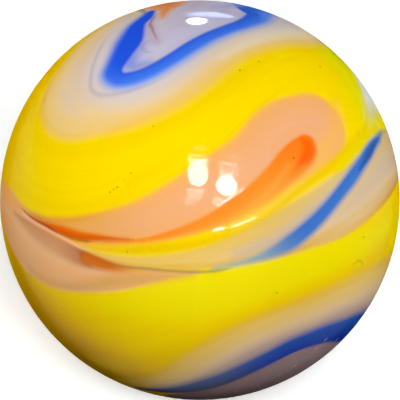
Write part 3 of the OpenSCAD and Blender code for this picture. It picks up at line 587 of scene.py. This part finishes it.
def layStream(tree, under, stream, streaks):
    # The stream's glass over what lies under it. Its ramp is read at the place across the
    # stream, moved by the streaks, and its cover rises over the blurred edge, which is 1 wide
    # and has the edge itself at 0.
    field = addNode(tree, "ShaderNodeAttribute", attribute_name=stream["name"])
    first, second, third = addNode(tree, "ShaderNodeSeparateXYZ",
                                   {0: field.outputs["Color"]}).outputs
    if stream.get("fine"):
        across, along, half = first, second, third
        deep = addMath(tree, "SUBTRACT", half, addMath(tree, "ABSOLUTE", across))
        edge = addMath(tree, "DIVIDE", deep, stream["soft"])
    else:
        edge, across, along = first, second, third
    streak = stream.get("streak", 0)
    if "inward" in stream:
        place = addMath(tree, "MULTIPLY_ADD", streaks, streak / 2, across, clamp=True)
    else:
        # from -1 to 1 across the stream is 0 to 1 along the ramp
        place = addMath(tree, "MULTIPLY_ADD", streaks, streak * 2, across)
        place = addMath(tree, "MULTIPLY_ADD", place, 0.5, 0.5, clamp=True)
    glass = addRamp(tree, place, stream["glass"])
    if "later" in stream:
        turned = addRise(tree, along, *stream["turns"])
        glass = addMix(tree, turned, glass, addRamp(tree, place, stream["later"]))
    if "wisp" in stream:
        code, share = stream["wisp"]
        drawn = addRise(tree, streaks, *streakPlan["wisps"], high=share)
        glass = addMix(tree, drawn, glass, linear(code))
    cover = addRise(tree, edge, -0.5, 0.5, high=stream.get("strength", 1.0))
    return addMix(tree, cover, under, glass)


def swirledGlass():
    # the body glass, then the streams laid over it in their order, then the flaws
    material = bpy.data.materials.new("swirledGlass")
    material.use_nodes = True
    tree = material.node_tree
    tree.nodes.clear()
    flow = addNode(tree, "ShaderNodeAttribute", attribute_name="flow").outputs["Vector"]
    drawn = addNode(tree, "ShaderNodeTexNoise",
                    {"Vector": flow, "Scale": 1.0, "Detail": streakPlan["detail"],
                     "Roughness": streakPlan["roughness"]})
    streaks = addMath(tree, "SUBTRACT", drawn.outputs[0], 0.5)    # up and down from 0
    colour = addRamp(tree, drawn.outputs[0], bodyGlass["glass"])
    for stream in streams:
        colour = layStream(tree, colour, stream, streaks)
    # pits darken the glass; the chips' pale dashes are painted glints
    for name in ("pit", "chipGlint"):
        field = addNode(tree, "ShaderNodeAttribute", attribute_name=name + "s")
        away = addNode(tree, "ShaderNodeVectorMath", {0: field.outputs["Vector"]},
                       operation="LENGTH")
        inside = addRise(tree, away.outputs["Value"], *flawPlan["fades"],
                         low=flawPlan[name + "Share"], high=0.0, kind="LINEAR")
        colour = addMix(tree, inside, colour, linear(flawPlan[name + "Colour"]))
    # the gloss falls in two steps as the glass turns away, and is gone at the rim, which would
    # otherwise carry a white veil of the floor
    facing = addNode(tree, "ShaderNodeLayerWeight", {"Blend": 0.5}).outputs["Facing"]
    shine = bodyGlass["shine"]
    for start, end, left in bodyGlass["shineFalls"]:
        shine = addRise(tree, facing, start, end, low=shine, high=left)
    shader = addNode(tree, "ShaderNodeBsdfPrincipled",
                     {"Base Color": colour, "Roughness": bodyGlass["roughness"],
                      "IOR": bodyGlass["ior"], "Specular IOR Level": shine})
    # ripples left by polishing, long across and thin up the ball, that only show in the gloss
    place = addNode(tree, "ShaderNodeTexCoord").outputs["Object"]
    drawn = addNode(tree, "ShaderNodeMapping", {"Vector": place, "Scale": polish["scale"]})
    ripples = addNode(tree, "ShaderNodeTexNoise",
                      {"Vector": drawn.outputs[0], "Scale": 1.0, "Detail": polish["detail"]})
    bump = addNode(tree, "ShaderNodeBump", {"Height": ripples.outputs[0],
                                            "Distance": polish["height"]})
    tree.links.new(bump.outputs[0], shader.inputs["Normal"])
    output = addNode(tree, "ShaderNodeOutputMaterial")
    tree.links.new(shader.outputs[0], output.inputs["Surface"])
    return material


def storeVectors(mesh, name, vectors):
    # three numbers at each point, which the material reads by their name
    attribute = mesh.attributes.new(name, "FLOAT_VECTOR", "POINT")
    attribute.data.foreach_set("vector", vectors.astype(np.float32).ravel())


def flawVectors(points, places, size):
    # from the nearest flaw's middle to each point, in units of the flaw's own half length
    # (around the map's middle) and half width: 1 long at the flaw's edge
    p = np.array(places)
    middle = onBall(p[:, 0], p[:, 1])
    around = unit(np.cross([0, 0, 1], middle))
    outward = np.cross(middle, around)
    near = np.argmax(points @ middle.T, axis=1)
    away = (points - middle[near]) * ballPlan["mapRadius"] / p[near, 2:]
    along = np.einsum("ij,ij->i", away, around[near]) / size[0]
    across = np.einsum("ij,ij->i", away, outward[near]) / size[1]
    return np.column_stack([along, across, np.einsum("ij,ij->i", away, middle[near])])


def relief(points):
    # how far each point lies inside the true ball, mm: a cone-shaped dent at each flaw, the
    # crease as a bell-shaped groove about its line, and three slow waves around the ball
    f = flawPlan
    p = np.array(f["pits"] + f["chipGlints"])
    apart = np.sqrt(np.maximum(2 - 2 * points @ onBall(p[:, 0], p[:, 1]).T, 0))
    apart = apart.min(axis=1) * ballPlan["mapRadius"]
    dents = f["dentDeep"] * np.maximum(1 - apart / f["dentSize"], 0)
    line = next(stream["line"] for stream in streams if stream["name"] == "creaseSeamAndShade")
    _, offset, _, half = measure(points, line)
    groove = f["grooveDeep"] * np.exp(-(offset / f["grooveWide"]) ** 2) * (half > 0)
    waves = np.array(f["waves"])
    slow = (1 + np.sin(points @ waves[:, :3].T + waves[:, 3]).mean(axis=1)) / 2
    return dents + groove + f["waveDeep"] * slow


def buildBall():
    # The grid on the ball, pressed in by its relief. Each stream leaves three numbers at each
    # point: how deep it is inside the edge, in widths of the blur, and its places across and
    # along. A fine line leaves its offset, its place along and its half width instead, which
    # run evenly past its middle and so draw it crisply between the points.
    points, quads = ballGrid(ballPlan["gridCells"])
    mesh = bpy.data.meshes.new("marbleGlass")
    reach = ballRadius - relief(points)[:, None] * millimetre
    mesh.from_pydata(points @ mapTurn.T * reach, [], quads)
    mesh.shade_smooth()
    storeVectors(mesh, "pits", flawVectors(points, flawPlan["pits"], flawPlan["pitSize"]))
    storeVectors(mesh, "chipGlints", flawVectors(points, flawPlan["chipGlints"], flawPlan["chipGlintSize"]))
    flow = None
    for number, stream in enumerate(streams):
        depth, offset, along, half = measure(points, stream["line"])
        if stream.get("fine"):
            field = np.column_stack([offset, along, half])
        else:
            soft = np.where(offset < 0, *stream["soft"])
            if "blurs" in stream:
                # the blurred edge widens evenly between two places along the stream
                start, end, times = stream["blurs"]
                soft = soft * np.interp(along, (start, end), (1, times))
            if "inward" in stream:
                place = depth / stream["inward"]
            else:
                place = offset / np.maximum(half, ballPlan["thinnest"])
            field = np.column_stack([depth / soft, place, along])
        storeVectors(mesh, stream["name"], field)
        if stream.get("streak"):
            lines = np.column_stack([offset * streakPlan["across"],
                                     along * streamLength(stream["line"]) * streakPlan["along"],
                                     np.full(len(points), number * streakPlan["apart"])])
            flow = lines if flow is None else np.where(depth[:, None] > 0, lines, flow)
    storeVectors(mesh, "flow", flow)
    mesh.validate()
    piece = bpy.data.objects.new("marbleGlass", mesh)
    bpy.context.scene.collection.objects.link(piece)
    return piece


print("measuring the streams")
glassBall = buildBall()
print("laying the glass")
glassBall.data.materials.append(swirledGlass())
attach(glassBall, "root")
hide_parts("marble")


stagePlan = {
    "floorSize": 3.0,            # m
    "floorPale": "#fafafa",
    "floorGlow": 0.4,            # brings the pale floor up towards white
    "floorBounce": "#2c221c",    # its colour for the light that it throws back at the ball
    "ambient": 0.01,             # light from all round
    "lampDistance": 0.45,        # m
    "thinLamp": 0.02,            # a glint lamp less tall than this is a bar, m
}
white = (1.0, 1.0, 1.0, 1.0)

# where each lamp stands, as (right, up, towards the view), how wide it is, m, and how bright it
# makes a white surface that faces it
softLamps = {
    "keyLamp": ((0.12, 0.1, 0.99), 0.2, (1.05, 1.05, 1.05)),
    "leftRimLamp": ((-0.5, 0.55, -0.67), 0.15, (0.23, 0.23, 0.23)),
    "rightRimLamp": ((0.9, 0.25, -0.36), 0.12, (0.61, 0.62, 0.62)),
    "leftLamp": ((-0.88, 0.4, -0.27), 0.1, (0.34, 0.34, 0.33)),
    "lowerLeftLamp": ((-0.88, 0.2, 0.42), 0.1, (0.12, 0.12, 0.12)),
}

# lamps that are only seen in the gloss: the map point each shows at, how wide and how tall it
# is, m, how far it is turned as it shows, degrees, and how bright
glintLamps = {
    "leftGlint": ((-0.07, 1.02), (0.09, 0.118), 0, (1.75, 1.75, 1.75)),
    "rightGlint": ((1.03, 0.57), (0.09, 0.086), 0, (1.6, 1.6, 1.6)),
    "topGlint": ((-0.15, 9.45), (0.04, 0.05), 0, (8, 8, 8)),
    "windowGlint": ((0.6, 10.4), (0.085, 0.06), -8, (0.12, 0.18, 0.36)),
    "foldLine": ((1.2, 0.11), (0.14, 0.005), 34, (0.3, 0.3, 0.3)),
    "seamLine": ((1.7, -0.873), (0.118, 0.005), 22, (0.2, 0.2, 0.2)),
    "seamDash": ((0.76, -1.12), (0.053, 0.007), 13, (0.17, 0.17, 0.17)),
    "leftSmear1": ((-0.07, 1.71), (0.08, 0.012), -4, (0.06, 0.06, 0.056)),
    "leftSmear2": ((-0.02, 1.98), (0.062, 0.007), -3, (0.014, 0.014, 0.013)),
    "leftSmear3": ((0.04, 2.09), (0.05, 0.004), -4, (0.009, 0.009, 0.008)),
    "leftSmear4": ((-0.2, 0.38), (0.08, 0.005), -5, (0.07, 0.07, 0.065)),
    "leftSmear5": ((-0.14, 0.29), (0.075, 0.004), -3, (0.046, 0.046, 0.043)),
    "leftSmear6": ((-0.2, 0.16), (0.07, 0.005), -5, (0.063, 0.063, 0.059)),
    "leftSmear7": ((-0.27, 0.04), (0.066, 0.004), -4, (0.034, 0.034, 0.032)),
    "leftSmear8": ((-0.36, -0.11), (0.05, 0.006), -4, (0.018, 0.018, 0.017)),
    "rightSmear1": ((1.14, 1.4), (0.095, 0.004), -5, (0.097, 0.097, 0.09)),
    "rightSmear2": ((1.16, 1.24), (0.09, 0.003), -4, (0.056, 0.056, 0.052)),
    "rightSmear3": ((1.08, 1.12), (0.085, 0.003), -5, (0.052, 0.052, 0.048)),
    "rightSmear4": ((1.43, 1.7), (0.06, 0.006), -4, (0.022, 0.022, 0.02)),
    "rightSmear5": ((0.65, 0.05), (0.04, 0.014), -5, (0.06, 0.06, 0.056)),
    "rightSmear6": ((0.59, -0.11), (0.04, 0.006), -4, (0.025, 0.025, 0.023)),
    "leftCap": ((-0.06, 1.5), (0.088, 0.018), -3, (0.24, 0.24, 0.23)),
    "rightCap": ((1.13, 1.0), (0.08, 0.008), -6, (0.085, 0.085, 0.08)),
}


def buildFloor():
    half = stagePlan["floorSize"] / 2
    corners = np.array([(-1, -1), (1, -1), (1, 1), (-1, 1)]) * half
    mesh = bpy.data.meshes.new("floor")
    mesh.from_pydata(np.column_stack([corners, np.full(4, -ballRadius)]), [], [(0, 1, 2, 3)])
    floor = bpy.data.objects.new("floor", mesh)
    bpy.context.scene.collection.objects.link(floor)
    material = bpy.data.materials.new("paleFloor")
    material.use_nodes = True
    tree = material.node_tree
    tree.nodes.clear()
    path = addNode(tree, "ShaderNodeLightPath")
    # the floor is pale wherever it is seen, straight or in glass
    seen = addMath(tree, "MAXIMUM", path.outputs["Is Camera Ray"], path.outputs["Is Glossy Ray"])
    seen = addMath(tree, "MAXIMUM", seen, path.outputs["Is Transmission Ray"])
    colour = addMix(tree, seen, linear(stagePlan["floorBounce"]), linear(stagePlan["floorPale"]))
    glow = addMath(tree, "MULTIPLY", seen, stagePlan["floorGlow"])
    matt = addNode(tree, "ShaderNodeBsdfPrincipled",
                   {"Base Color": colour, "Roughness": 1.0, "Specular IOR Level": 0.0,
                    "Emission Color": white, "Emission Strength": glow})
    output = addNode(tree, "ShaderNodeOutputMaterial")
    tree.links.new(matt.outputs[0], output.inputs["Surface"])
    material.cycles.emission_sampling = "NONE"
    mesh.materials.append(material)


def aim(direction):
    # directions are (right, up, towards the view) as the best side is seen
    return Vector(mapTurn @ np.array(direction, float)).normalized()


def addLamp(name, direction, size, colour, shape, diffuse=True, glossy=True):
    # a lamp of (pi times its distance) squared watts lights a white surface to 1
    distance = stagePlan["lampDistance"]
    light = bpy.data.lights.new(name, "AREA")
    light.shape = shape
    light.size, light.size_y = size
    light.energy = max(colour) * (math.pi * distance) ** 2
    light.color = np.array(colour) / max(colour)
    lamp = bpy.data.objects.new(name, light)
    bpy.context.scene.collection.objects.link(lamp)
    way = aim(direction)
    lamp.location = way * distance
    lamp.rotation_euler = way.to_track_quat("Z", "Y").to_euler()
    lamp.visible_camera = False
    lamp.visible_diffuse = diffuse
    lamp.visible_glossy = glossy
    return lamp


def mirrored(x, y, way):
    # a way as it leaves a map point after the mirror there: w - 2 (n . w) n
    n = onBall(np.array(float(x)), np.array(float(y)))
    return way - 2 * (n @ way) * n


print("laying the floor")
buildFloor()
print("setting the lamps")
for name, (direction, size, colour) in softLamps.items():
    addLamp(name, direction, (size, size), colour, "ELLIPSE", glossy=False)
for name, (place, size, turned, colour) in glintLamps.items():
    # the lamp stands where the mirror sends the view, and its width lies as the mirror turns it
    outward = -mirrored(*place, np.array([0, 0, 1.0]))
    roll = math.radians(turned)
    width = mirrored(*place, np.array([math.cos(roll), math.sin(roll), 0]))
    shape = "RECTANGLE" if size[1] < stagePlan["thinLamp"] else "ELLIPSE"
    lamp = addLamp(name, outward, size, colour, shape, diffuse=False)
    axes = mapTurn @ np.column_stack([width, np.cross(outward, width), outward])
    lamp.rotation_euler = Matrix(axes.tolist()).to_euler()

world = bpy.data.worlds.new("studio")
bpy.context.scene.world = world
world.use_nodes = True
background = world.node_tree.nodes["Background"]
background.inputs["Color"].default_value = white
background.inputs["Strength"].default_value = stagePlan["ambient"]

cameraPlan = {
    "distance": 12.0,        # from the ball's centre, in radii
    "sensor": 36.0,          # mm
    "frame": 400.0,          # pixels across the image
    "middle": (199.9, 200.06),   # the ball's middle in the image, pixels
    "outline": 199.9,        # the ball's radius in the image, pixels
    "nearest": 0.001,        # it sees nothing closer than this, m
}


def addCamera():
    # the outline is where a sight line touches the ball: tan = 1 / sqrt(distance^2 - 1)
    data = bpy.data.cameras.new("view")
    data.sensor_width = cameraPlan["sensor"]
    reach = 1 / math.sqrt(cameraPlan["distance"] ** 2 - 1)
    share = cameraPlan["outline"] / cameraPlan["frame"]
    data.lens = share * cameraPlan["sensor"] / reach
    data.shift_x = 0.5 - cameraPlan["middle"][0] / cameraPlan["frame"]
    data.shift_y = cameraPlan["middle"][1] / cameraPlan["frame"] - 0.5
    data.clip_start = cameraPlan["nearest"]
    camera = bpy.data.objects.new("view", data)
    bpy.context.scene.collection.objects.link(camera)
    turned = Matrix(mapTurn.tolist()).to_4x4()
    turned.translation = Vector(mapTurn[:, 2]) * ballRadius * cameraPlan["distance"]
    camera.matrix_world = turned
    bpy.context.scene.camera = camera


print("setting the camera")
addCamera()
bpy.context.scene.view_settings.view_transform = "Standard"

print("ready")
